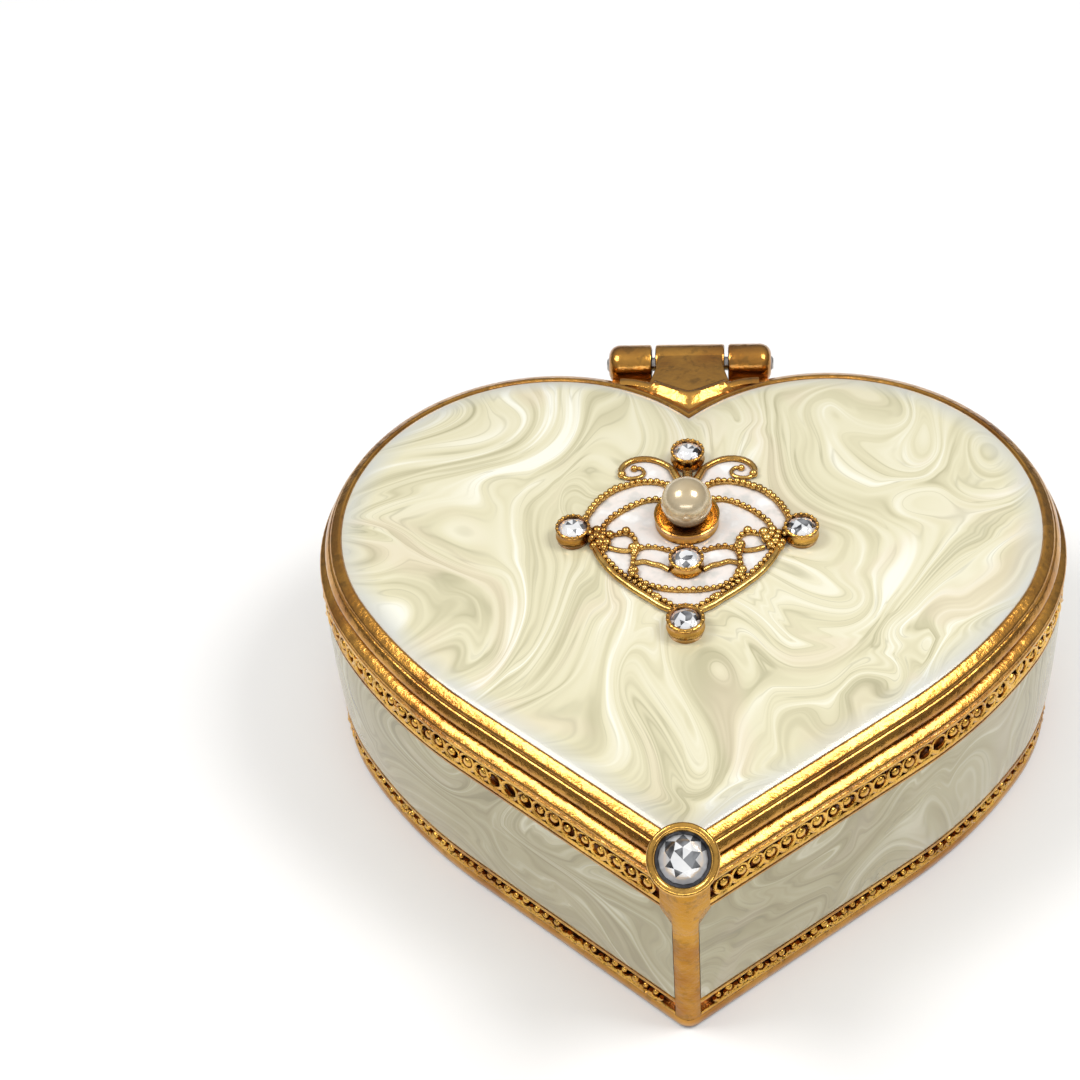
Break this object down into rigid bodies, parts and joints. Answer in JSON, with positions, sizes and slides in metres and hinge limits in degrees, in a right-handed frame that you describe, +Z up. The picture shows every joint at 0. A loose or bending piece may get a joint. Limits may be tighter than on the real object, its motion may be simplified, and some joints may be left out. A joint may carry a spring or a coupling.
{
  "type": "heart shaped hinged trinket box",
  "caption": "Heart shaped gilt metal trinket box with swirled cream enamel panels, a hinged domed lid, a pearl and crystal ornament and a magnetic catch.",
  "frame": {"origin": "Underside of the base, below the middle of the whole closed box's bounding box.", "axes": "+Z up; +X across the two lobes; the heart's tip and the thumb piece point to -Y and the hinge is at +Y, lid closed."},
  "size_m": [0.0604, 0.0582, 0.0274],
  "materials": {
    "gilt_casting": "polished gilt plating over cast metal, darker in the creases",
    "gilt_trim": "bright gilt plating with dark red brown crevices",
    "side_enamel": "glossy pearl swirl enamel, beige grey",
    "top_enamel": "glossy pearl swirl enamel, cream with grey green swirls",
    "inner_enamel": "glossy pearl swirl enamel, creamy yellow",
    "ornament_enamel": "glossy white enamel, slightly pink",
    "magnet_plating": "bright nickel plating",
    "pin_steel": "drawn steel wire",
    "pearl": "imitation pearl lustre, soft sheen",
    "crystal": "clear faceted glass with foiled back"
  },
  "bodies": {
    "base": {"base_shell": "gilt_casting", "left_side_enamel": "side_enamel", "right_side_enamel": "side_enamel", "upper_beaded_strip": "gilt_trim", "lower_beaded_strip": "gilt_trim", "bowl_enamel": "inner_enamel", "base_magnet": "magnet_plating", "hinge_pin": "pin_steel"},
    "lid": {"lid_shell": "gilt_casting", "lid_top_enamel": "top_enamel", "lid_inner_enamel": "inner_enamel", "lid_magnet": "magnet_plating", "thumb_bezel": "gilt_trim", "thumb_crystal": "crystal", "filigree_enamel": "ornament_enamel", "filigree_frame": "gilt_trim", "pearl_cup": "gilt_trim", "pearl": "pearl", "top_bezel": "gilt_trim", "top_crystal": "crystal", "left_bezel": "gilt_trim", "left_crystal": "crystal", "right_bezel": "gilt_trim", "right_crystal": "crystal", "centre_bezel": "gilt_trim", "centre_crystal": "crystal", "bottom_bezel": "gilt_trim", "bottom_crystal": "crystal"}
  },
  "joints": [
    {"name": "lid_hinge", "type": "hinge", "parent": "base", "child": "lid", "pos_m": [0, 0.02744, 0.0193], "axis": [-1, 0, 0], "range_deg": [0, 95]}
  ]
}
